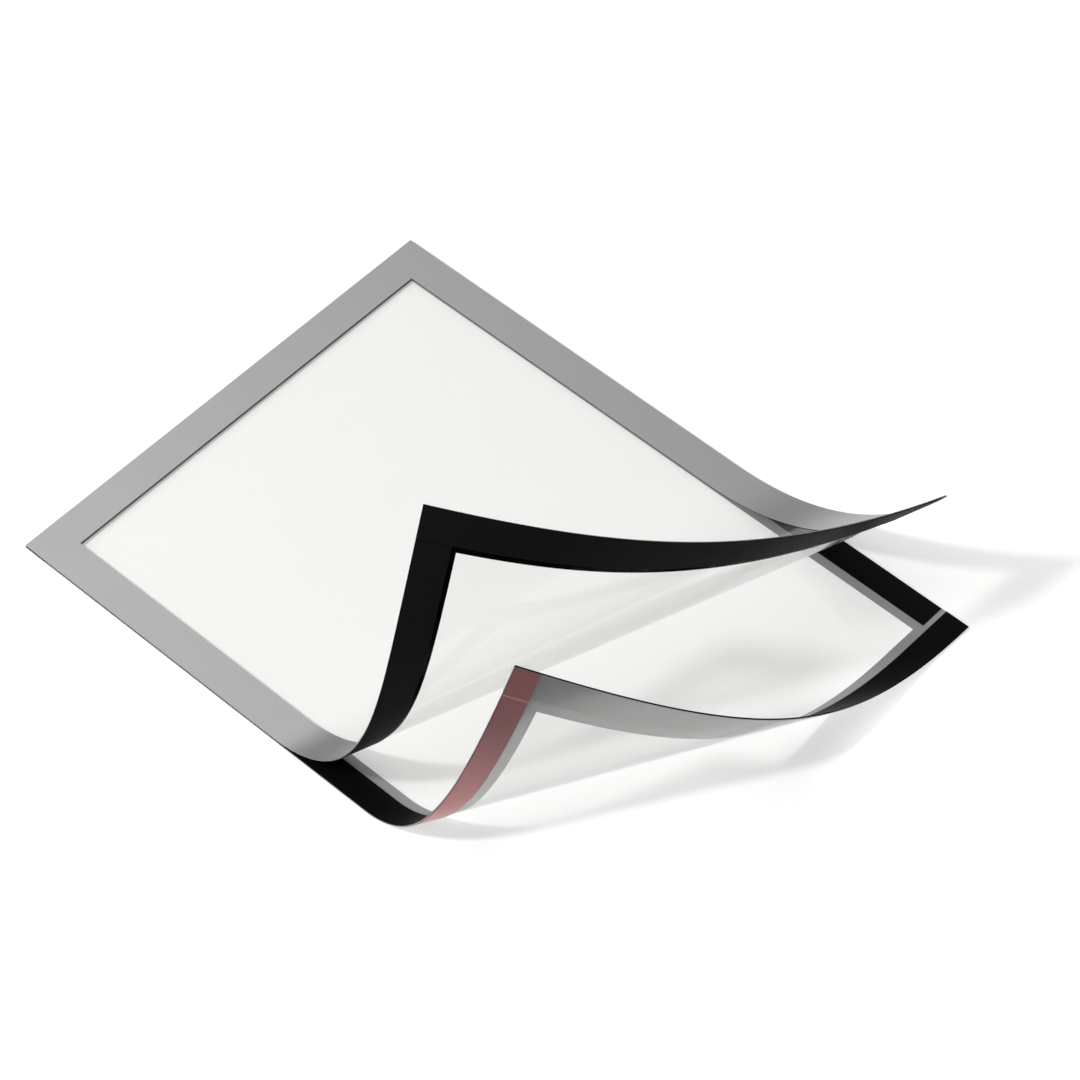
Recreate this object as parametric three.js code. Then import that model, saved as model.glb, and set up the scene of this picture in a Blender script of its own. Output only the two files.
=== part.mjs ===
// Flexible magnetic display frame for one sheet of paper, with its cover peeled open from one corner.
//
// Two thin sheets are joined by a film hinge along one short edge. Each carries four magnetic strips round its
// edges, which pull the cover shut on the back sheet with the paper between them. Two adhesive tapes under the
// long edges, still on their release liners, fix the frame to a wall or a door.
//
// Millimetres. +X runs to the right along the hinge edge, +Y from the free edge to the hinge edge, and +Z towards
// the viewer. The pieces are drawn flat from the corner where the peel starts, and then folded with their sheet.

import * as THREE from 'three';

// The paper that the frame shows, and the frame around it
const paperWidth = 210;
const paperLength = 297;
const paperClearance = 1;
const paperCover = 3.5;
const backMagnetWidth = 12;
const coverMagnetWidth = 14;
const frameWidth = paperWidth + 2 * (paperClearance + backMagnetWidth);
const frameLength = paperLength + 2 * (paperClearance + backMagnetWidth);
const borderWidth = backMagnetWidth + paperClearance + paperCover;

// Thicknesses, from the wall outwards
const linerThickness = 0.1;
const tapeThickness = 0.15;
const filmThickness = 0.2;
const borderThickness = 0.1;
const magnetThickness = 0.4;
const hingeFilmThickness = 0.08;

// At the free edge the back's film and print end short of the magnet on them
const backFilmInset = 0.2;

// The long strips are glued a little in from the sheets' edges
const backStripInset = 0.3;
const coverStripInset = 0.4;

// Clearances
const layerGap = 0.02;
const backMagnetGap = 2.6;
const coverMagnetGap = 0.2;
const hingeEdgeClearance = 0.3;

// Each liner covers its tape, and both stop short of the sheet's edge and of its ends
const linerWidth = 11;
const linerSideInset = 0.4;
const linerEndInset = 0.6;
const tapeWidth = 10;
const tapeEndInset = 2;

// The hinge film is folded once, and each of its two legs is glued to the magnet it lies on
const hingeLegWidth = 11;
const hingeEndInset = 1;

// How each sheet curls. A peeled sheet bends along straight lines that fan out across it. The first line leaves
// the left edge at the start distance from the corner, and the rest follow at even steps towards the corner,
// while their direction turns steadily from the start angle to the corner angle. The bend has its radius at the
// start. A share of that bend is left half way, and none at the corner.
const coverCurlStart = 174.8;
const coverCurlRadius = 41.9;
const coverCurl = {
  start: coverCurlStart,
  radius: coverCurlRadius,
  middleShare: 0.89,
  startAngle: THREE.MathUtils.degToRad(-11.4),
  cornerAngle: THREE.MathUtils.degToRad(-70),
  folds: 20,
};
const backCurlStart = 121.7;
const backCurlRadius = 20.7;
const backCurl = {
  start: backCurlStart,
  radius: backCurlRadius,
  middleShare: 0.315,
  startAngle: THREE.MathUtils.degToRad(-27.8),
  cornerAngle: THREE.MathUtils.degToRad(-44.4),
  folds: 14,
};

// Heights of the layers, stacked from the underside of the liners
const linerBottom = 0;
const tapeBottom = linerBottom + linerThickness + layerGap;
const backFilmBottom = tapeBottom + tapeThickness + layerGap;
const backBorderBottom = backFilmBottom + filmThickness + layerGap;
const backMagnetBottom = backBorderBottom + borderThickness + layerGap;
const hingeFilmBottom = backMagnetBottom + magnetThickness + layerGap;
const coverMagnetBottom = hingeFilmBottom + 3 * hingeFilmThickness + layerGap;
const coverFilmBottom = coverMagnetBottom + magnetThickness + layerGap;
const coverBorderBottom = coverFilmBottom + filmThickness + layerGap;

const silver = new THREE.MeshStandardMaterial({ color: 0x9b9c9d, roughness: 0.42, metalness: 0.45 });
const greyPrint = new THREE.MeshStandardMaterial({ color: 0xaeb0b2, roughness: 0.35, metalness: 0 });
const clearFilm = new THREE.MeshStandardMaterial({
  color: 0xf1f3f3,
  roughness: 0.08,
  metalness: 0,
  transparent: true,
  opacity: 0.25,
});
const blackMagnet = new THREE.MeshStandardMaterial({ color: 0x17181b, roughness: 0.55, metalness: 0 });
const adhesive = new THREE.MeshStandardMaterial({ color: 0xe6e2d6, roughness: 0.6, metalness: 0 });
const redLiner = new THREE.MeshStandardMaterial({ color: 0xb06f72, roughness: 0.35, metalness: 0 });

// The fold lines of a curl, from the flat part to the corner. Each has the motion that lifts what lies beyond it,
// and half of that motion, for what lies on the line itself.
function foldLines(curl, neutralHeight) {
  const step = curl.start / curl.folds;
  const lines = [];
  let carried = new THREE.Matrix4();
  for (let index = 0; index < curl.folds; index += 1) {
    const distance = curl.start - (index + 0.5) * step;
    const share = distance / curl.start;
    const angle = THREE.MathUtils.lerp(curl.cornerAngle, curl.startAngle, share);
    const bendShare = share < 0.5
      ? curl.middleShare * 2 * share
      : THREE.MathUtils.lerp(curl.middleShare, 1, 2 * share - 1);
    const bend = bendShare * step * Math.cos(angle) / curl.radius;
    const along = new THREE.Vector3(Math.cos(angle), Math.sin(angle), 0);
    const point = new THREE.Vector3(0, distance, neutralHeight);
    const turned = (amount) => new THREE.Matrix4()
      .makeTranslation(point)
      .multiply(new THREE.Matrix4().makeRotationAxis(along, -amount))
      .multiply(new THREE.Matrix4().makeTranslation(point.clone().negate()));
    const half = carried.clone().multiply(turned(bend / 2));
    carried = carried.clone().multiply(turned(bend));
    lines.push({ point, across: new THREE.Vector2(along.y, -along.x), bend, half, whole: carried });
  }
  return lines;
}

// How far a flat point lies beyond a fold line, towards the corner
function beyond(line, x, y) {
  return (x - line.point.x) * line.across.x + (y - line.point.y) * line.across.y;
}

// A flat point of a sheet, at a height, where the folded sheet carries it. On a fold line the thickness is
// mitred, so that every layer keeps its own thickness and its distance to the next one on both sides.
const onLine = 1e-6;
function foldedPoint(sheet, x, y, height) {
  let motion = new THREE.Matrix4();
  let offset = height - sheet.neutralHeight;
  for (const line of sheet.lines) {
    const distance = beyond(line, x, y);
    if (distance < -onLine) {
      break;
    }
    if (distance < onLine) {
      motion = line.half;
      offset /= Math.cos(line.bend / 2);
      break;
    }
    motion = line.whole;
  }
  return new THREE.Vector3(x, y, sheet.neutralHeight + offset).applyMatrix4(motion);
}

// A convex flat outline, cut in two by a fold line
function splitOutline(outline, line) {
  const sides = outline.map(([x, y]) => beyond(line, x, y));
  if (sides.every((side) => side < onLine) || sides.every((side) => side > -onLine)) {
    return [outline];
  }
  const near = [];
  const far = [];
  outline.forEach((corner, index) => {
    const next = (index + 1) % outline.length;
    if (sides[index] < onLine) {
      near.push(corner);
    }
    if (sides[index] > -onLine) {
      far.push(corner);
    }
    if (Math.abs(sides[index]) >= onLine && Math.abs(sides[next]) >= onLine && sides[index] * sides[next] < 0) {
      const share = sides[index] / (sides[index] - sides[next]);
      const crossing = [
        THREE.MathUtils.lerp(corner[0], outline[next][0], share),
        THREE.MathUtils.lerp(corner[1], outline[next][1], share),
      ];
      near.push(crossing);
      far.push(crossing);
    }
  });
  return [near, far];
}

// A flat layer made of rectangles that meet edge to edge, as a closed solid of one thickness on the folded sheet
function layerGeometry(sheet, rectangles, bottom, thickness) {
  let cells = rectangles.map(([left, right, low, high]) => [[left, low], [right, low], [right, high], [left, high]]);
  for (const line of sheet.lines) {
    cells = cells.flatMap((cell) => splitOutline(cell, line));
  }
  const corners = [];
  const cornerNumber = new Map();
  const numberOf = ([x, y]) => {
    const key = `${Math.round(x * 1e5)} ${Math.round(y * 1e5)}`;
    if (!cornerNumber.has(key)) {
      cornerNumber.set(key, corners.length);
      corners.push([x, y]);
    }
    return cornerNumber.get(key);
  };
  const faces = cells.map((cell) => cell.map(numberOf));
  const edges = new Set();
  for (const face of faces) {
    face.forEach((corner, index) => edges.add(`${corner} ${face[(index + 1) % face.length]}`));
  }

  const count = corners.length;
  const positions = [];
  for (const height of [bottom, bottom + thickness]) {
    for (const [x, y] of corners) {
      positions.push(...foldedPoint(sheet, x, y, height).toArray());
    }
  }
  const triangles = [];
  for (const face of faces) {
    for (let index = 1; index + 1 < face.length; index += 1) {
      triangles.push(face[0] + count, face[index] + count, face[index + 1] + count);
      triangles.push(face[0], face[index + 1], face[index]);
    }
  }
  for (const edge of edges) {
    const [from, to] = edge.split(' ').map(Number);
    if (!edges.has(`${to} ${from}`)) {
      triangles.push(from, to, to + count);
      triangles.push(from, to + count, from + count);
    }
  }
  const geometry = new THREE.BufferGeometry();
  geometry.setAttribute('position', new THREE.Float32BufferAttribute(positions, 3));
  geometry.setIndex(triangles);
  geometry.computeVertexNormals();
  return geometry;
}

function layer(name, sheet, rectangles, bottom, thickness, material) {
  const mesh = new THREE.Mesh(layerGeometry(sheet, rectangles, bottom, thickness), material.clone());
  mesh.name = name;
  return mesh;
}

// The outlines of a film and of its printed border, as [left, right, low, high]
function filmOutline(freeEdgeInset) {
  return [[0, frameWidth, freeEdgeInset, frameLength]];
}

function borderOutline(freeEdgeInset) {
  const columns = [0, borderWidth, frameWidth - borderWidth, frameWidth];
  const rows = [freeEdgeInset, borderWidth, frameLength - borderWidth, frameLength];
  const ring = [];
  for (let column = 0; column < 3; column += 1) {
    for (let row = 0; row < 3; row += 1) {
      if (column !== 1 || row !== 1) {
        ring.push([columns[column], columns[column + 1], rows[row], rows[row + 1]]);
      }
    }
  }
  return ring;
}

// The strips on the short edges run the full width, and those on the long edges fit between them
function magnetOutlines(width, endGap, sideInset) {
  const low = width + endGap;
  const high = frameLength - width - endGap;
  const right = frameWidth - sideInset;
  return {
    hinge_edge: [[0, frameWidth, frameLength - width, frameLength]],
    left_edge: [[sideInset, sideInset + width, low, high]],
    right_edge: [[right - width, right, low, high]],
    free_edge: [[0, frameWidth, 0, width]],
  };
}

// Strips under the long edges, centred on the liners and set back from the sheet's ends
function stripsUnderLongEdges(width, endInset) {
  const left = linerSideInset + (linerWidth - width) / 2;
  const right = frameWidth - left;
  const low = endInset;
  const high = frameLength - endInset;
  return {
    left: [[left, left + width, low, high]],
    right: [[right - width, right, low, high]],
  };
}

const frame = new THREE.Group();

// Back sheet, folded about the middle of its film
const backNeutral = backFilmBottom + filmThickness / 2;
const backSheet = { neutralHeight: backNeutral, lines: foldLines(backCurl, backNeutral) };
const back = new THREE.Group();
const backOutline = filmOutline(backFilmInset);
const backRing = borderOutline(backFilmInset);
back.add(layer('back_film', backSheet, backOutline, backFilmBottom, filmThickness, clearFilm));
back.add(layer('back_border', backSheet, backRing, backBorderBottom, borderThickness, greyPrint));
const backStrips = magnetOutlines(backMagnetWidth, backMagnetGap, backStripInset);
for (const [edge, outline] of Object.entries(backStrips)) {
  back.add(layer(`back_magnet_${edge}`, backSheet, outline, backMagnetBottom, magnetThickness, blackMagnet));
}
for (const [side, outline] of Object.entries(stripsUnderLongEdges(tapeWidth, tapeEndInset))) {
  back.add(layer(`adhesive_tape_${side}`, backSheet, outline, tapeBottom, tapeThickness, adhesive));
}
for (const [side, outline] of Object.entries(stripsUnderLongEdges(linerWidth, linerEndInset))) {
  back.add(layer(`release_liner_${side}`, backSheet, outline, linerBottom, linerThickness, redLiner));
}
frame.add(back);

// Cover, folded about the middle of its own film
const coverNeutral = coverFilmBottom + filmThickness / 2;
const coverSheet = { neutralHeight: coverNeutral, lines: foldLines(coverCurl, coverNeutral) };
const cover = new THREE.Group();
cover.add(layer('cover_film', coverSheet, filmOutline(0), coverFilmBottom, filmThickness, clearFilm));
cover.add(layer('cover_border', coverSheet, borderOutline(0), coverBorderBottom, borderThickness, silver));
const coverStrips = magnetOutlines(coverMagnetWidth, coverMagnetGap, coverStripInset);
for (const [edge, outline] of Object.entries(coverStrips)) {
  cover.add(layer(`cover_magnet_${edge}`, coverSheet, outline, coverMagnetBottom, magnetThickness, blackMagnet));
}
frame.add(cover);

// Hinge film: a strip folded once along the hinge edge, drawn in section and run along the edge
const hingeMiddle = 1.5 * hingeFilmThickness;
const hingeFold = frameLength + hingeEdgeClearance;
const hingeSection = new THREE.Shape();
hingeSection.moveTo(frameLength - hingeLegWidth, -hingeMiddle);
hingeSection.lineTo(hingeFold, -hingeMiddle);
hingeSection.absarc(hingeFold, 0, hingeMiddle, -Math.PI / 2, Math.PI / 2, false);
hingeSection.lineTo(frameLength - hingeLegWidth, hingeMiddle);
hingeSection.lineTo(frameLength - hingeLegWidth, hingeFilmThickness / 2);
hingeSection.lineTo(hingeFold, hingeFilmThickness / 2);
hingeSection.absarc(hingeFold, 0, hingeFilmThickness / 2, Math.PI / 2, -Math.PI / 2, true);
hingeSection.lineTo(frameLength - hingeLegWidth, -hingeFilmThickness / 2);
const hingeLength = frameWidth - 2 * hingeEndInset;
const hingeGeometry = new THREE.ExtrudeGeometry(hingeSection, {
  depth: hingeLength,
  bevelEnabled: false,
  curveSegments: 6,
});
const sectionToWorld = new THREE.Matrix4().makeBasis(
  new THREE.Vector3(0, 1, 0),
  new THREE.Vector3(0, 0, 1),
  new THREE.Vector3(1, 0, 0),
);
const hingeFilm = new THREE.Mesh(hingeGeometry, clearFilm.clone());
hingeFilm.name = 'hinge_film';
hingeFilm.quaternion.setFromRotationMatrix(sectionToWorld);
hingeFilm.position.set(hingeEndInset, 0, hingeFilmBottom + hingeMiddle);
frame.add(hingeFilm);

// The frame stands on the middle of its own footprint
const extent = new THREE.Box3().setFromObject(frame, true);
const middle = extent.getCenter(new THREE.Vector3());
frame.position.set(-middle.x, -middle.y, -extent.min.z);
const part = new THREE.Group();
part.add(frame);

export default part;
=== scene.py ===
import math

import bmesh
import bpy
from mathutils import Matrix, Vector


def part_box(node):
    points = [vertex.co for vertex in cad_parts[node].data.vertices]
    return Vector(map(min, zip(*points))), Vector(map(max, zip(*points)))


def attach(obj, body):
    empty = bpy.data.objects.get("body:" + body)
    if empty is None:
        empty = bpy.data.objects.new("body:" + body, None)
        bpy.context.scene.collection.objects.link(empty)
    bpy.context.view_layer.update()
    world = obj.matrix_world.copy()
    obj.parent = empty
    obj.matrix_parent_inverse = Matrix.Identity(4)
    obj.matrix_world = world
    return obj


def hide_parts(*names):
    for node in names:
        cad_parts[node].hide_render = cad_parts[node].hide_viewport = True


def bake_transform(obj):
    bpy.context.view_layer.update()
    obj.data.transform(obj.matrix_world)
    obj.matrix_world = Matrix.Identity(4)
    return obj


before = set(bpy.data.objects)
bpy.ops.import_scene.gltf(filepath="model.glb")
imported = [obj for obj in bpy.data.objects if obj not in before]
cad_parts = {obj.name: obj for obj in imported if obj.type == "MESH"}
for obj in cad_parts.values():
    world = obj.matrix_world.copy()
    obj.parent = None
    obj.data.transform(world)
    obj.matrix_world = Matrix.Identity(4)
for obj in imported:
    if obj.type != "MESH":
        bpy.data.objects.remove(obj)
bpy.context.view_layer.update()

# Camera. A long lens looks down at the frame from beyond its free edge, on the side of the peeled corner.
# Its place and turn come from the straight edges of the frame in the photograph.
camera_data = bpy.data.cameras.new("camera")
camera_data.sensor_width = 36
camera_data.lens = 135.57
camera_data.clip_end = 50
camera = bpy.data.objects.new("camera", camera_data)
camera.location = (-0.74372, -0.73402, 1.35907)
camera.rotation_euler = [math.radians(angle) for angle in (38.140, 0.688, -47.249)]
bpy.context.scene.collection.objects.link(camera)
bpy.context.scene.camera = camera


# Back sheet. A clear polyester film that carries every other piece of the back. It ends a little short of the
# magnet on its free edge, and its free left corner curls up from the floor.
MM = 0.001
film_thickness = 0.2 * MM
film_cut = 0.03 * MM
sheet_length = 323 * MM
back_film_inset = 0.5 * MM
border_width = 16.5 * MM
back_curl = {
    "start": 121.7 * MM,
    "radius": 20.7 * MM,
    "middle share": 0.315,
    "start angle": math.radians(-27.8),
    "corner angle": math.radians(-44.4),
    "folds": 80,
}

# The hinge edge's magnetic strip lies flat and runs the full width, so it gives the sheet's place and width
strip_low, strip_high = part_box("back_magnet_hinge_edge")
sheet_width = strip_high.x - strip_low.x
sheet_corner = Vector((strip_low.x, strip_high.y - sheet_length, 0))


def bottom_of(node):
    """The height at which a layer starts, of a node that keeps a flat part. A curl only rises from there."""
    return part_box(node)[0].z


def flat_plate(left, right, low, high):
    """A rectangle, drawn flat from the sheet's free left corner"""
    plate = bmesh.new()
    middle = Vector(((left + right) / 2, (low + high) / 2, 0))
    size = Matrix.Diagonal((right - left, high - low, 1, 1))
    bmesh.ops.create_grid(
        plate, x_segments=1, y_segments=1, size=0.5, matrix=Matrix.Translation(middle) @ size
    )
    return plate


def thicken(plate, bottom, thickness, cut):
    """Gives a flat plate its thickness and its cut edges.
    Material 0 is its top, 1 its underside and 2 its edges."""
    rim_angle = math.radians(30)
    nearly_level = 0.99
    bmesh.ops.translate(plate, verts=plate.verts[:], vec=(0, 0, bottom))
    raised = bmesh.ops.extrude_face_region(plate, geom=plate.faces[:])["geom"]
    raised_corners = [part for part in raised if isinstance(part, bmesh.types.BMVert)]
    bmesh.ops.translate(plate, verts=raised_corners, vec=(0, 0, thickness))
    bmesh.ops.recalc_face_normals(plate, faces=plate.faces[:])
    rims = [edge for edge in plate.edges if edge.calc_face_angle(0) > rim_angle]
    bmesh.ops.bevel(
        plate,
        geom=rims,
        offset=cut,
        offset_type="OFFSET",
        affect="EDGES",
        segments=2,
        profile=0.5,
        material=-1,
    )
    plate.normal_update()
    for face in plate.faces:
        if abs(face.normal.z) < nearly_level:
            face.material_index = 2
        elif face.normal.z < 0:
            face.material_index = 1


def fold_lines(curl, neutral_height):
    """The lines that a peeled sheet bends along, from its corner to its flat part. They fan out across it."""
    step = curl["start"] / curl["folds"]
    lines = []
    for index in range(curl["folds"]):
        distance = (index + 0.5) * step
        share = distance / curl["start"]
        angle = curl["corner angle"] + (curl["start angle"] - curl["corner angle"]) * share
        if share < 0.5:
            bend_share = curl["middle share"] * 2 * share
        else:
            bend_share = curl["middle share"] + (1 - curl["middle share"]) * (2 * share - 1)
        lines.append({
            "point": Vector((0, distance, neutral_height)),
            "along": Vector((math.cos(angle), math.sin(angle), 0)),
            "across": Vector((math.sin(angle), -math.cos(angle), 0)),
            "bend": bend_share * step * math.cos(angle) / curl["radius"],
        })
    return lines


def fold(solid, lines):
    """Cuts a flat solid along the fold lines and lifts what lies beyond each.
    Every vertex keeps, in the layer "flat", where it lay before."""
    cut_reach = 1e-7
    on_line = 1e-6
    for line in lines:
        everything = solid.verts[:] + solid.edges[:] + solid.faces[:]
        bmesh.ops.bisect_plane(
            solid, geom=everything, dist=cut_reach, plane_co=line["point"], plane_no=line["across"]
        )
    flat = solid.verts.layers.float_vector.new("flat")
    for vert in solid.verts:
        vert[flat] = vert.co
    for line in lines:
        beyond = []
        on_fold = []
        for vert in solid.verts:
            distance = (vert[flat] - line["point"]).dot(line["across"])
            if distance > on_line:
                beyond.append(vert)
            elif distance > -on_line:
                on_fold.append(vert)
        for verts, bend in ((beyond, line["bend"]), (on_fold, line["bend"] / 2)):
            lift = Matrix.Rotation(-bend, 3, line["along"])
            bmesh.ops.rotate(solid, verts=verts, cent=line["point"], matrix=lift)


def add_piece(name, solid, materials, body, node):
    """Makes a finished solid a piece of the frame, with its place in its mesh"""
    smooth_below = math.radians(22)
    bmesh.ops.translate(solid, verts=solid.verts[:], vec=sheet_corner)
    mesh = bpy.data.meshes.new(name)
    solid.to_mesh(mesh)
    solid.free()
    mesh.shade_smooth()
    mesh.set_sharp_from_angle(angle=smooth_below)
    for material in materials:
        mesh.materials.append(material)
    piece = bpy.data.objects.new(name, mesh)
    bpy.context.scene.collection.objects.link(piece)
    if body:
        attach(piece, body)
    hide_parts(node)
    return piece


def add_node(tree, kind, values=None, **settings):
    """A shader node with its sockets' values, each a plain value or another node's output"""
    made = tree.nodes.new(kind)
    for name, value in settings.items():
        setattr(made, name, value)
    for name, value in (values or {}).items():
        if isinstance(value, bpy.types.NodeSocket):
            tree.links.new(value, made.inputs[name])
        else:
            made.inputs[name].default_value = value
    return made


def calculate(tree, operation, first, second):
    """The result of a sum on two values, each a number or another node's output"""
    return add_node(tree, "ShaderNodeMath", {0: first, 1: second}, operation=operation).outputs[0]


def blend_colour(tree, share, start, end):
    """A colour between two, each given as red, green and blue or as another node's output"""
    colours = [value if isinstance(value, bpy.types.NodeSocket) else (*value, 1) for value in (start, end)]
    blended = add_node(
        tree, "ShaderNodeMix", {"Factor": share, "A": colours[0], "B": colours[1]}, data_type="RGBA"
    )
    return blended.outputs["Result"]


def new_material(name):
    """A material with one Principled shader. It returns the material, its node tree and the shader."""
    material = bpy.data.materials.new(name)
    material.use_nodes = True
    return material, material.node_tree, material.node_tree.nodes["Principled BSDF"]


def flat_place(tree):
    """Where a point lay on the flat sheet, so that a pattern bends with the sheet"""
    return add_node(tree, "ShaderNodeAttribute", attribute_name="flat").outputs["Vector"]


def flat_edge_distance(tree):
    """How far in from the sheet's outer edge a point lies"""
    place = add_node(tree, "ShaderNodeSeparateXYZ", {"Vector": flat_place(tree)})
    distances = []
    for axis, size in (("X", sheet_width), ("Y", sheet_length)):
        far = calculate(tree, "SUBTRACT", size, place.outputs[axis])
        distances.append(calculate(tree, "MINIMUM", place.outputs[axis], far))
    return calculate(tree, "MINIMUM", *distances)


def new_group(name, inputs, outputs):
    """A shader node group with named sockets. It returns the group, its input node and its output node."""
    group = bpy.data.node_groups.new(name, "ShaderNodeTree")
    for socket, kind, value in inputs:
        made = group.interface.new_socket(name=socket, in_out="INPUT", socket_type=kind)
        if value is not None:
            made.default_value = value
    for socket, kind in outputs:
        group.interface.new_socket(name=socket, in_out="OUTPUT", socket_type=kind)
    return group, group.nodes.new("NodeGroupInput"), group.nodes.new("NodeGroupOutput")


# Fine grain: an even speckle, such as that of a satin print or of rubber, in grains of one size
grain_group, grain_in, grain_out = new_group(
    "fine grain",
    (("Place", "NodeSocketVector", None), ("Grains per metre", "NodeSocketFloat", 2000.0)),
    (("Grain", "NodeSocketFloat"),),
)
grain_noise = add_node(grain_group, "ShaderNodeTexNoise", {
    "Vector": grain_in.outputs["Place"],
    "Scale": grain_in.outputs["Grains per metre"],
    "Detail": 2.0,
    "Roughness": 0.6,
})
grain_group.links.new(grain_noise.outputs["Fac"], grain_out.inputs["Grain"])

# Handling marks: soft smudges where fingers held the sheet, and small specks of dust between them
marks_group, marks_in, marks_out = new_group(
    "handling marks",
    (("Place", "NodeSocketVector", None), ("Specks per metre", "NodeSocketFloat", 60.0)),
    (("Smudge", "NodeSocketFloat"), ("Dust", "NodeSocketFloat")),
)
smudge_noise = add_node(marks_group, "ShaderNodeTexNoise", {
    "Vector": marks_in.outputs["Place"],
    "Scale": 14.0,
    "Detail": 3.0,
    "Distortion": 0.6,
})
smudge_range = add_node(marks_group, "ShaderNodeMapRange", {
    "Value": smudge_noise.outputs["Fac"],
    "From Min": 0.45,
    "From Max": 0.75,
})
speck_cells = add_node(marks_group, "ShaderNodeTexVoronoi", {
    "Vector": marks_in.outputs["Place"],
    "Scale": marks_in.outputs["Specks per metre"],
    "Randomness": 1.0,
})
speck_range = add_node(marks_group, "ShaderNodeMapRange", {
    "Value": speck_cells.outputs["Distance"],
    "From Min": 0.012,
    "From Max": 0.006,
})
marks_group.links.new(smudge_range.outputs["Result"], marks_out.inputs["Smudge"])
marks_group.links.new(speck_range.outputs["Result"], marks_out.inputs["Dust"])


def grain_over(tree, grains_per_metre):
    """The fine grain, over a sheet"""
    grain = add_node(
        tree,
        "ShaderNodeGroup",
        {"Place": flat_place(tree), "Grains per metre": grains_per_metre},
        node_tree=grain_group,
    )
    return grain.outputs["Grain"]


def marks_over(tree, specks_per_metre=60.0):
    """The smudges and the dust of handling, over a sheet"""
    marks = add_node(
        tree,
        "ShaderNodeGroup",
        {"Place": flat_place(tree), "Specks per metre": specks_per_metre},
        node_tree=marks_group,
    )
    return marks.outputs


def clear_film_material(name, clearness, face_on, roughness, printed_share=1.0):
    """Clear film. Each face mirrors a little light, much more where it is seen edge-on, and lets the rest
    through. On the border a share of the mirrored light is left, because the print is fused to the film."""
    edge_on = 0.8
    smear = 0.1
    steepness = 4.0
    border_blur = 0.1 * MM
    material, tree, shader = new_material(name)
    shader.inputs["Metallic"].default_value = 1
    marks = marks_over(tree)
    dusted = blend_colour(tree, marks["Dust"], (0.9, 0.9, 0.9), (0.7, 0.7, 0.68))
    tree.links.new(dusted, shader.inputs["Base Color"])
    smudged = add_node(tree, "ShaderNodeMapRange", {
        "Value": marks["Smudge"],
        "To Min": roughness,
        "To Max": roughness + smear,
    })
    tree.links.new(smudged.outputs["Result"], shader.inputs["Roughness"])
    tint = (clearness, clearness, clearness - 0.002, 1)
    through = add_node(tree, "ShaderNodeBsdfTransparent", {"Color": tint})
    facing = add_node(tree, "ShaderNodeLayerWeight", {"Blend": 0.5})
    mirrored = add_node(tree, "ShaderNodeMapRange", {
        "Value": calculate(tree, "POWER", facing.outputs["Facing"], steepness),
        "To Min": face_on,
        "To Max": edge_on,
    })
    on_window = add_node(tree, "ShaderNodeMapRange", {
        "Value": flat_edge_distance(tree),
        "From Min": border_width - border_blur,
        "From Max": border_width,
        "To Min": printed_share,
        "To Max": 1.0,
    })
    shine = calculate(tree, "MULTIPLY", mirrored.outputs["Result"], on_window.outputs["Result"])
    surface = add_node(tree, "ShaderNodeMixShader", {
        0: shine,
        1: through.outputs["BSDF"],
        2: shader.outputs["BSDF"],
    })
    tree.links.new(surface.outputs["Shader"], tree.nodes["Material Output"].inputs["Surface"])
    return material


back_clear = clear_film_material("clear film of the back", 0.946, face_on=0.022, roughness=0.1)

# The cut edges of the film are frosted, and catch the light
cut_film, cut_tree, cut_shader = new_material("cut film edge")
cut_frost = add_node(cut_tree, "ShaderNodeMapRange", {
    "Value": grain_over(cut_tree, 900.0),
    "To Min": 0.35,
    "To Max": 0.75,
})
cut_tree.links.new(cut_frost.outputs["Result"], cut_shader.inputs["Alpha"])
cut_shader.inputs["Base Color"].default_value = (0.78, 0.79, 0.79, 1)
cut_shader.inputs["Roughness"].default_value = 0.4

back_neutral = bottom_of("back_film") + film_thickness / 2
back_folds = fold_lines(back_curl, back_neutral)
back_sheet = flat_plate(0, sheet_width, back_film_inset, sheet_length)
thicken(back_sheet, bottom_of("back_film"), film_thickness, film_cut)
fold(back_sheet, back_folds)
add_piece(
    "clear_back_sheet",
    back_sheet,
    (back_clear, back_clear, cut_film),
    "back_sheet",
    "back_film",
)


# Grey border of the back. A translucent grey print on the film, under the magnets and 4.5 mm wider than they
# are. Its underside is painted lighter than its top, as painted light for what comes through the print from
# above, and painted a little darker where a magnet stands behind it and blocks that light.
print_thickness = 0.1 * MM
print_cut = 0.02 * MM
back_magnet_width = 12 * MM


def flat_border(free_edge_inset):
    """The ring that a border fills, mitred at its corners. Its outer side may end short of the free edge."""
    ring = flat_plate(0, sheet_width, 0, sheet_length)
    window = ring.faces[:]
    bmesh.ops.inset_region(
        ring, faces=window, thickness=border_width, use_even_offset=True, use_boundary=True
    )
    bmesh.ops.delete(ring, geom=window, context="FACES")
    free_end = [vert for vert in ring.verts if vert.co.y < border_width / 2]
    bmesh.ops.translate(ring, verts=free_end, vec=(0, free_edge_inset, 0))
    return ring


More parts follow.
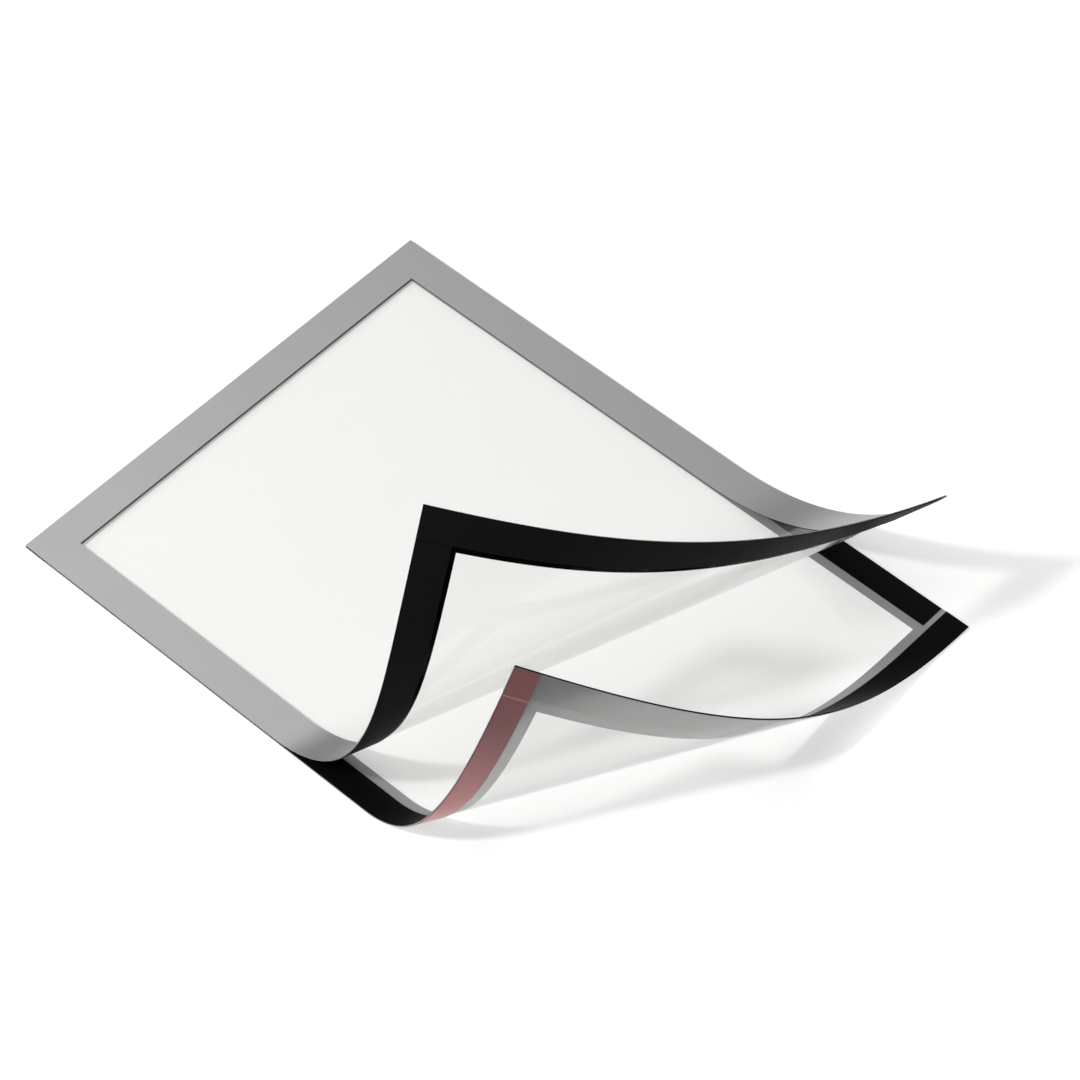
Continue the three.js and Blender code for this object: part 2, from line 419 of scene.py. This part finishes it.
def grey_print_material(name, painted_shade_behind_magnet, painted_light_beside_magnet, metal):
    """Grey print, in two shades that meet where the magnet over it ends. On the underside these are painted
    shade behind the magnet and painted light beside it. Beside the magnet it lets some light through."""
    shade_blur = 0.3 * MM
    beside_alpha = 0.75
    material, tree, shader = new_material(name)
    band = add_node(tree, "ShaderNodeMapRange", {
        "Value": flat_edge_distance(tree),
        "From Min": back_magnet_width - shade_blur,
        "From Max": back_magnet_width + shade_blur,
    })
    # On the underside this is painted shade behind the magnet and painted light beside it
    shade = add_node(tree, "ShaderNodeMapRange", {
        "Value": band.outputs["Result"],
        "To Min": painted_shade_behind_magnet,
        "To Max": painted_light_beside_magnet,
    })
    speckle = add_node(tree, "ShaderNodeMapRange", {
        "Value": grain_over(tree, 2400.0),
        "To Min": 0.94,
        "To Max": 1.06,
    })
    grey = calculate(tree, "MULTIPLY", shade.outputs["Result"], speckle.outputs["Result"])
    tree.links.new(grey, shader.inputs["Base Color"])
    shader.inputs["Metallic"].default_value = metal
    shader.inputs["Roughness"].default_value = 0.36
    thinness = add_node(tree, "ShaderNodeMapRange", {
        "Value": band.outputs["Result"],
        "To Min": 1.0,
        "To Max": beside_alpha,
    })
    tree.links.new(thinness.outputs["Result"], shader.inputs["Alpha"])
    return material


grey_print_top = grey_print_material("grey print, upper side", 0.38, 0.38, metal=0.1)
# Painted light: the underside is a lighter copy of the top's grey, lighter still beside the magnets
grey_print_under_painted_light = grey_print_material("grey print, underside, painted lighter", 0.48, 0.56, metal=0.7)
back_border = flat_border(back_film_inset)
thicken(back_border, bottom_of("back_border"), print_thickness, print_cut)
fold(back_border, back_folds)
add_piece(
    "grey_back_border",
    back_border,
    (grey_print_top, grey_print_under_painted_light, grey_print_under_painted_light),
    "back_sheet",
    "back_border",
)


# Magnets of the back. Four flexible strips of black ferrite rubber, cut square and glued on the grey border.
# Small gaps are left between their ends.
magnet_thickness = 0.4 * MM
magnet_cut = 0.08 * MM
back_magnet_gap = 2.6 * MM
back_strip_inset = 0.3 * MM


def magnet_material(name, black, roughness, shine):
    """Black ferrite rubber, rolled lengthwise, with a fine grain"""
    grain_contrast = 0.3
    smear = 0.12
    material, tree, shader = new_material(name)
    grain = grain_over(tree, 1500.0)
    marks = marks_over(tree, 90.0)
    darkest = [(1 - grain_contrast) * value for value in black]
    palest = [(1 + grain_contrast) * value for value in black]
    tone = blend_colour(tree, grain, darkest, palest)
    dusted = blend_colour(tree, marks["Dust"], tone, (0.12, 0.12, 0.12))
    tree.links.new(dusted, shader.inputs["Base Color"])
    gloss = add_node(tree, "ShaderNodeMapRange", {
        "Value": marks["Smudge"],
        "To Min": roughness,
        "To Max": roughness + smear,
    })
    tree.links.new(gloss.outputs["Result"], shader.inputs["Roughness"])
    shader.inputs["Specular IOR Level"].default_value = shine
    bump = add_node(tree, "ShaderNodeBump", {"Height": grain, "Strength": 0.15, "Distance": 0.02 * MM})
    tree.links.new(bump.outputs["Normal"], shader.inputs["Normal"])
    return material


def magnet_outlines(width, end_gap, side_inset):
    """The strips on the short edges run the full width, and those on the long edges fit between them"""
    low = width + end_gap
    high = sheet_length - width - end_gap
    right = sheet_width - side_inset
    return {
        "hinge_edge": (0, sheet_width, sheet_length - width, sheet_length),
        "left_edge": (side_inset, side_inset + width, low, high),
        "right_edge": (right - width, right, low, high),
        "free_edge": (0, sheet_width, 0, width),
    }


back_magnet_black = magnet_material("black magnet of the back", (0.0035, 0.0038, 0.0048), 0.4, 0.06)
back_strips = magnet_outlines(back_magnet_width, back_magnet_gap, back_strip_inset)
for edge, outline in back_strips.items():
    strip = flat_plate(*outline)
    thicken(strip, bottom_of("back_magnet_hinge_edge"), magnet_thickness, magnet_cut)
    fold(strip, back_folds)
    add_piece(
        f"back_magnet_strip_{edge}",
        strip,
        (back_magnet_black,) * 3,
        "back_sheet",
        f"back_magnet_{edge}",
    )


# Adhesive tapes. Double-sided mounting tape under each long edge, which its liner hides until the frame is
# hung up.
tape_thickness = 0.15 * MM
tape_cut = 0.03 * MM
tape_width = 10 * MM
tape_end_inset = 2 * MM
liner_width = 11 * MM
liner_side_inset = 0.4 * MM


def strips_under_long_edges(width, end_inset):
    """Strips centred on the liners and set back from the sheet's ends"""
    left = liner_side_inset + (liner_width - width) / 2
    right = sheet_width - left
    low = end_inset
    high = sheet_length - end_inset
    return {
        "left": (left, left + width, low, high),
        "right": (right - width, right, low, high),
    }


tape_adhesive, tape_tree, tape_shader = new_material("mounting adhesive")
tape_grain = grain_over(tape_tree, 900.0)
tape_tone = blend_colour(tape_tree, tape_grain, (0.66, 0.64, 0.58), (0.8, 0.78, 0.72))
tape_tree.links.new(tape_tone, tape_shader.inputs["Base Color"])
tape_shader.inputs["Roughness"].default_value = 0.5
for side, outline in strips_under_long_edges(tape_width, tape_end_inset).items():
    strip = flat_plate(*outline)
    thicken(strip, bottom_of(f"adhesive_tape_{side}"), tape_thickness, tape_cut)
    fold(strip, back_folds)
    add_piece(
        f"mounting_tape_{side}",
        strip,
        (tape_adhesive,) * 3,
        "back_sheet",
        f"adhesive_tape_{side}",
    )


# Release liners. Dusty red siliconed film over each tape, a little short of the sheet's ends. Its red is
# painted darker towards the peeled corner, as painted shade where the curl faces away from the light, and
# painted lighter towards the bend, as painted light from the floor. A faint crease crosses each where the
# magnet behind it ends.
liner_thickness = 0.1 * MM
liner_cut = 0.02 * MM
liner_end_inset = 0.6 * MM
crease_reach = 0.5 * MM
# Where the liner's painted shade ends and its painted light begins
painted_shade_up_to = 25 * MM
painted_light_from = 65 * MM
liner_red, liner_tree, liner_shader = new_material("red release liner")
liner_axes = add_node(liner_tree, "ShaderNodeSeparateXYZ", {"Vector": flat_place(liner_tree)})
beyond_crease = calculate(
    liner_tree, "SUBTRACT", liner_axes.outputs["Y"], back_magnet_width + back_magnet_gap / 2
)
from_crease = add_node(liner_tree, "ShaderNodeMath", {0: beyond_crease}, operation="ABSOLUTE")
crease = add_node(liner_tree, "ShaderNodeMapRange", {
    "Value": from_crease.outputs[0],
    "From Min": 0.0,
    "From Max": crease_reach,
    "To Min": 1.0,
    "To Max": 0.0,
})
liner_speckle = add_node(liner_tree, "ShaderNodeMapRange", {
    "Value": grain_over(liner_tree, 1200.0),
    "To Min": 0.92,
    "To Max": 1.08,
})
# Painted shade and painted light: the liner's red is darker near the peeled corner and lighter towards the
# bend
liner_painted_light_ramp = add_node(liner_tree, "ShaderNodeMapRange", {
    "Value": liner_axes.outputs["Y"],
    "From Min": painted_shade_up_to,
    "From Max": painted_light_from,
    "To Min": 0.82,
    "To Max": 1.6,
}, interpolation_type="SMOOTHSTEP")
liner_grain_and_painted_light = calculate(
    liner_tree, "MULTIPLY", liner_speckle.outputs["Result"], liner_painted_light_ramp.outputs["Result"]
)
liner_tone = add_node(
    liner_tree, "ShaderNodeVectorMath", {0: (0.36, 0.145, 0.153), "Scale": liner_grain_and_painted_light}, operation="SCALE"
)
liner_creased = blend_colour(
    liner_tree, crease.outputs["Result"], liner_tone.outputs["Vector"], (0.5, 0.29, 0.3)
)

# The light that a liner sends on to the floor is left grey, so that the floor by the bend stays white
liner_rays = add_node(liner_tree, "ShaderNodeLightPath")
liner_colour = blend_colour(liner_tree, liner_rays.outputs["Is Diffuse Ray"], liner_creased, (0.3, 0.3, 0.3))
liner_tree.links.new(liner_colour, liner_shader.inputs["Base Color"])
liner_shader.inputs["Roughness"].default_value = 0.3
liner_shader.inputs["Specular IOR Level"].default_value = 0.45
for side, outline in strips_under_long_edges(liner_width, liner_end_inset).items():
    strip = flat_plate(*outline)
    thicken(strip, bottom_of(f"release_liner_{side}"), liner_thickness, liner_cut)
    fold(strip, back_folds)
    add_piece(
        f"red_liner_{side}",
        strip,
        (liner_red,) * 3,
        "back_sheet",
        f"release_liner_{side}",
    )


# Hinge film. A clear strip folded once along the hinge edge. One leg is glued on the back's magnet and the
# other under the cover's, and the fold between them turns as the cover opens.
hinge_film_thickness = 0.08 * MM
hinge_leg_gap = 0.08 * MM
hinge_leg_width = 11 * MM
hinge_edge_clearance = 0.3 * MM
hinge_end_inset = 1 * MM
hinge_fold_steps = 12
hinge_middle = bottom_of("hinge_film") + hinge_film_thickness + hinge_leg_gap / 2
hinge_axis = Vector((0, sheet_length + hinge_edge_clearance, hinge_middle))
hinge_strip = bmesh.new()
leg_end = Vector((hinge_end_inset, sheet_length - hinge_leg_width, bottom_of("hinge_film")))
fold_end = Vector((hinge_end_inset, hinge_axis.y, bottom_of("hinge_film")))
section = []
for corner in (leg_end, fold_end):
    for height in (0, hinge_film_thickness):
        section.append(hinge_strip.verts.new(corner + Vector((0, 0, height))))
bmesh.ops.contextual_create(hinge_strip, geom=section)
section_edge = [edge for edge in hinge_strip.edges if all(vert.co.y > leg_end.y for vert in edge.verts)]
turned = bmesh.ops.spin(
    hinge_strip,
    geom=section_edge,
    cent=hinge_axis,
    axis=(1, 0, 0),
    dvec=(0, 0, 0),
    angle=math.pi,
    steps=hinge_fold_steps,
    use_duplicate=False,
)["geom_last"]
upper_leg = bmesh.ops.extrude_edge_only(
    hinge_strip, edges=[part for part in turned if isinstance(part, bmesh.types.BMEdge)]
)["geom"]
upper_end = [part for part in upper_leg if isinstance(part, bmesh.types.BMVert)]
bmesh.ops.translate(hinge_strip, verts=upper_end, vec=(0, leg_end.y - fold_end.y, 0))
lengthened = bmesh.ops.extrude_face_region(hinge_strip, geom=hinge_strip.faces[:])["geom"]
far_end = [part for part in lengthened if isinstance(part, bmesh.types.BMVert)]
bmesh.ops.translate(hinge_strip, verts=far_end, vec=(sheet_width - 2 * hinge_end_inset, 0, 0))
bmesh.ops.recalc_face_normals(hinge_strip, faces=hinge_strip.faces[:])
hinge_flat = hinge_strip.verts.layers.float_vector.new("flat")
for vert in hinge_strip.verts:
    vert[hinge_flat] = vert.co
hinge_clear = clear_film_material("hinge film", 0.965, face_on=0.05, roughness=0.25)
hinge_piece = add_piece("hinge_strip", hinge_strip, (hinge_clear,), None, "hinge_film")
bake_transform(hinge_piece)


# Cover sheet. The clear front film, of the same size as the back, peeled open from its free left corner. It
# bends more gently than the back.
cover_curl = {
    "start": 174.8 * MM,
    "radius": 41.9 * MM,
    "middle share": 0.89,
    "start angle": math.radians(-11.4),
    "corner angle": math.radians(-70),
    "folds": 80,
}
cover_clear = clear_film_material(
    "clear film of the cover", 0.984, face_on=0.022, roughness=0.1, printed_share=0.06
)
cover_neutral = bottom_of("cover_film") + film_thickness / 2
cover_folds = fold_lines(cover_curl, cover_neutral)
cover_sheet = flat_plate(0, sheet_width, 0, sheet_length)
thicken(cover_sheet, bottom_of("cover_film"), film_thickness, film_cut)
fold(cover_sheet, cover_folds)
add_piece(
    "clear_cover_sheet",
    cover_sheet,
    (cover_clear, cover_clear, cut_film),
    "cover",
    "cover_film",
)


# Silver border of the cover. A satin metallic print with a fine grain on top of the film, black on its
# underside.
silver_print, silver_tree, silver_shader = new_material("satin silver print")
silver_grain = grain_over(silver_tree, 2600.0)
silver_tone = blend_colour(silver_tree, silver_grain, (0.41, 0.41, 0.41), (0.51, 0.51, 0.51))
silver_tree.links.new(silver_tone, silver_shader.inputs["Base Color"])
silver_shader.inputs["Metallic"].default_value = 1
silver_gloss = add_node(silver_tree, "ShaderNodeMapRange", {
    "Value": marks_over(silver_tree)["Smudge"],
    "To Min": 0.36,
    "To Max": 0.42,
})
silver_tree.links.new(silver_gloss.outputs["Result"], silver_shader.inputs["Roughness"])
silver_bump = add_node(silver_tree, "ShaderNodeBump", {
    "Height": silver_grain,
    "Strength": 0.2,
    "Distance": 0.02 * MM,
})
silver_tree.links.new(silver_bump.outputs["Normal"], silver_shader.inputs["Normal"])

black_print, black_tree, black_shader = new_material("black underside of the print")
black_smudge = marks_over(black_tree)["Smudge"]
black_tone = blend_colour(black_tree, black_smudge, (0.001, 0.001, 0.0013), (0.002, 0.002, 0.0025))
black_tree.links.new(black_tone, black_shader.inputs["Base Color"])
black_shader.inputs["Roughness"].default_value = 0.2
black_shader.inputs["Specular IOR Level"].default_value = 0.05

cover_border = flat_border(0)
thicken(cover_border, bottom_of("cover_border"), print_thickness, print_cut)
fold(cover_border, cover_folds)
add_piece(
    "silver_cover_border",
    cover_border,
    (silver_print, black_print, black_print),
    "cover",
    "cover_border",
)


# Magnets of the cover. Strips like those of the back, 2 mm wider and butted at the corners, glued under the
# film. The long ones lie a little in from the sheet's edges.
cover_magnet_width = 14 * MM
cover_magnet_gap = 0.2 * MM
cover_strip_inset = 0.4 * MM
cover_magnet_black = magnet_material("black magnet of the cover", (0.008, 0.0085, 0.0095), 0.5, 0.07)
cover_strips = magnet_outlines(cover_magnet_width, cover_magnet_gap, cover_strip_inset)
for edge, outline in cover_strips.items():
    strip = flat_plate(*outline)
    thicken(strip, bottom_of("cover_magnet_hinge_edge"), magnet_thickness, magnet_cut)
    fold(strip, cover_folds)
    add_piece(
        f"cover_magnet_strip_{edge}",
        strip,
        (cover_magnet_black,) * 3,
        "cover",
        f"cover_magnet_{edge}",
    )


# Studio. A white light table glows a little from below, and fades into a grey floor just under the picture.
# Beyond the free edge and by the bend it glows more, as painted light that fills the shadows there. One lamp
# stands on the far left, a wide soft light hangs behind the frame over a pale wall, and the camera's side is
# dim.
floor_side = 6.0
floor_level = -0.02 * MM
floor_mesh = bpy.data.meshes.new("floor")
floor_plate = bmesh.new()
bmesh.ops.create_grid(floor_plate, x_segments=1, y_segments=1, size=floor_side / 2)
bmesh.ops.translate(floor_plate, verts=floor_plate.verts[:], vec=(0, 0, floor_level))
floor_plate.to_mesh(floor_mesh)
floor_plate.free()
floor = bpy.data.objects.new("floor", floor_mesh)
bpy.context.scene.collection.objects.link(floor)
floor_white, floor_tree, floor_shader = new_material("white floor")
floor_shader.inputs["Roughness"].default_value = 0.9
floor_shader.inputs["Specular IOR Level"].default_value = 0.1
floor_shader.inputs["Emission Color"].default_value = (1, 1, 0.995, 1)
floor_place = add_node(floor_tree, "ShaderNodeTexCoord").outputs["Object"]

# The table's glow is even but for two brighter spots of painted light, which fill the shadows beyond the free
# edge and under the bend. Each is given by its place, how far it reaches, how far it keeps its full strength,
# and that strength.
floor_glow = 0.34
painted_light_front_spot = ((0.075, -0.195, 0), 0.08, 0.03, 0.28)
painted_light_bend_spot = ((-0.114, -0.0645, 0), 0.028, 0.004, 0.18)
for place, reach, core, strength in (painted_light_front_spot, painted_light_bend_spot):
    # Each spot is painted light on the floor, filling a shadow
    from_spot = add_node(floor_tree, "ShaderNodeVectorMath", {0: floor_place, 1: place}, operation="DISTANCE")
    painted_spot_glow = add_node(floor_tree, "ShaderNodeMapRange", {
        "Value": from_spot.outputs["Value"],
        "From Min": reach,
        "From Max": core,
        "To Min": 0.0,
        "To Max": strength,
    }, interpolation_type="SMOOTHSTEP")
    floor_glow = calculate(floor_tree, "ADD", floor_glow, painted_spot_glow.outputs["Result"])

# The table ends this far from the frame towards the camera, and its end is soft
table_front = 0.32
table_fade = 0.1
camera_side = Vector((-1, -1, 0)).normalized()
towards_camera = add_node(
    floor_tree, "ShaderNodeVectorMath", {0: floor_place, 1: camera_side}, operation="DOT_PRODUCT"
)
on_table = add_node(floor_tree, "ShaderNodeMapRange", {
    "Value": towards_camera.outputs["Value"],
    "From Min": table_front + table_fade,
    "From Max": table_front,
}, interpolation_type="SMOOTHSTEP")
floor_tone = blend_colour(floor_tree, on_table.outputs["Result"], (0.24, 0.24, 0.24), (0.88, 0.88, 0.875))
floor_tree.links.new(floor_tone, floor_shader.inputs["Base Color"])
table_glow = calculate(floor_tree, "MULTIPLY", floor_glow, on_table.outputs["Result"])
floor_tree.links.new(table_glow, floor_shader.inputs["Emission Strength"])
floor_mesh.materials.append(floor_white)

lamp_direction = Vector((-0.58, 0.34, 0.74)).normalized()
lamp_distance = 2.4
lamp_data = bpy.data.lights.new("lamp", "AREA")
lamp_data.shape = "DISK"
lamp_data.size = 0.24
lamp_data.energy = 24
lamp = bpy.data.objects.new("lamp", lamp_data)
lamp.location = lamp_direction * lamp_distance
lamp.rotation_euler = lamp_direction.to_track_quat("Z", "Y").to_euler()
bpy.context.scene.collection.objects.link(lamp)

surround = bpy.data.worlds.new("surround")
surround.use_nodes = True
bpy.context.scene.world = surround
surround_tree = surround.node_tree
outwards = add_node(surround_tree, "ShaderNodeTexCoord").outputs["Generated"]
soft_light_direction = Vector((-0.196, 0.539, 0.819)).normalized()
towards_light = add_node(
    surround_tree, "ShaderNodeVectorMath", {0: outwards, 1: soft_light_direction}, operation="DOT_PRODUCT"
)
surround_light = add_node(surround_tree, "ShaderNodeMapRange", {
    "Value": towards_light.outputs["Value"],
    "From Min": 0.616,
    "From Max": 0.94,
    "To Min": 0.12,
    "To Max": 1.5,
}, interpolation_type="SMOOTHSTEP")
wall_direction = Vector((0.6, 0.8, 0.09)).normalized()
towards_wall = add_node(
    surround_tree, "ShaderNodeVectorMath", {0: outwards, 1: wall_direction}, operation="DOT_PRODUCT"
)
wall_light = add_node(surround_tree, "ShaderNodeMapRange", {
    "Value": towards_wall.outputs["Value"],
    "From Min": 0.65,
    "From Max": 0.95,
    "To Min": 0.0,
    "To Max": 0.25,
}, interpolation_type="SMOOTHSTEP")
room_light = calculate(surround_tree, "ADD", surround_light.outputs["Result"], wall_light.outputs["Result"])
room = surround_tree.nodes["Background"]
surround_tree.links.new(room_light, room.inputs["Strength"])
room.inputs["Color"].default_value = (1, 1, 0.995, 1)

# Plain display colours, so that white paper comes out white, and sight lines that pass every layer of film
bpy.context.scene.view_settings.view_transform = "Standard"
bpy.context.scene.cycles.transparent_max_bounces = 32
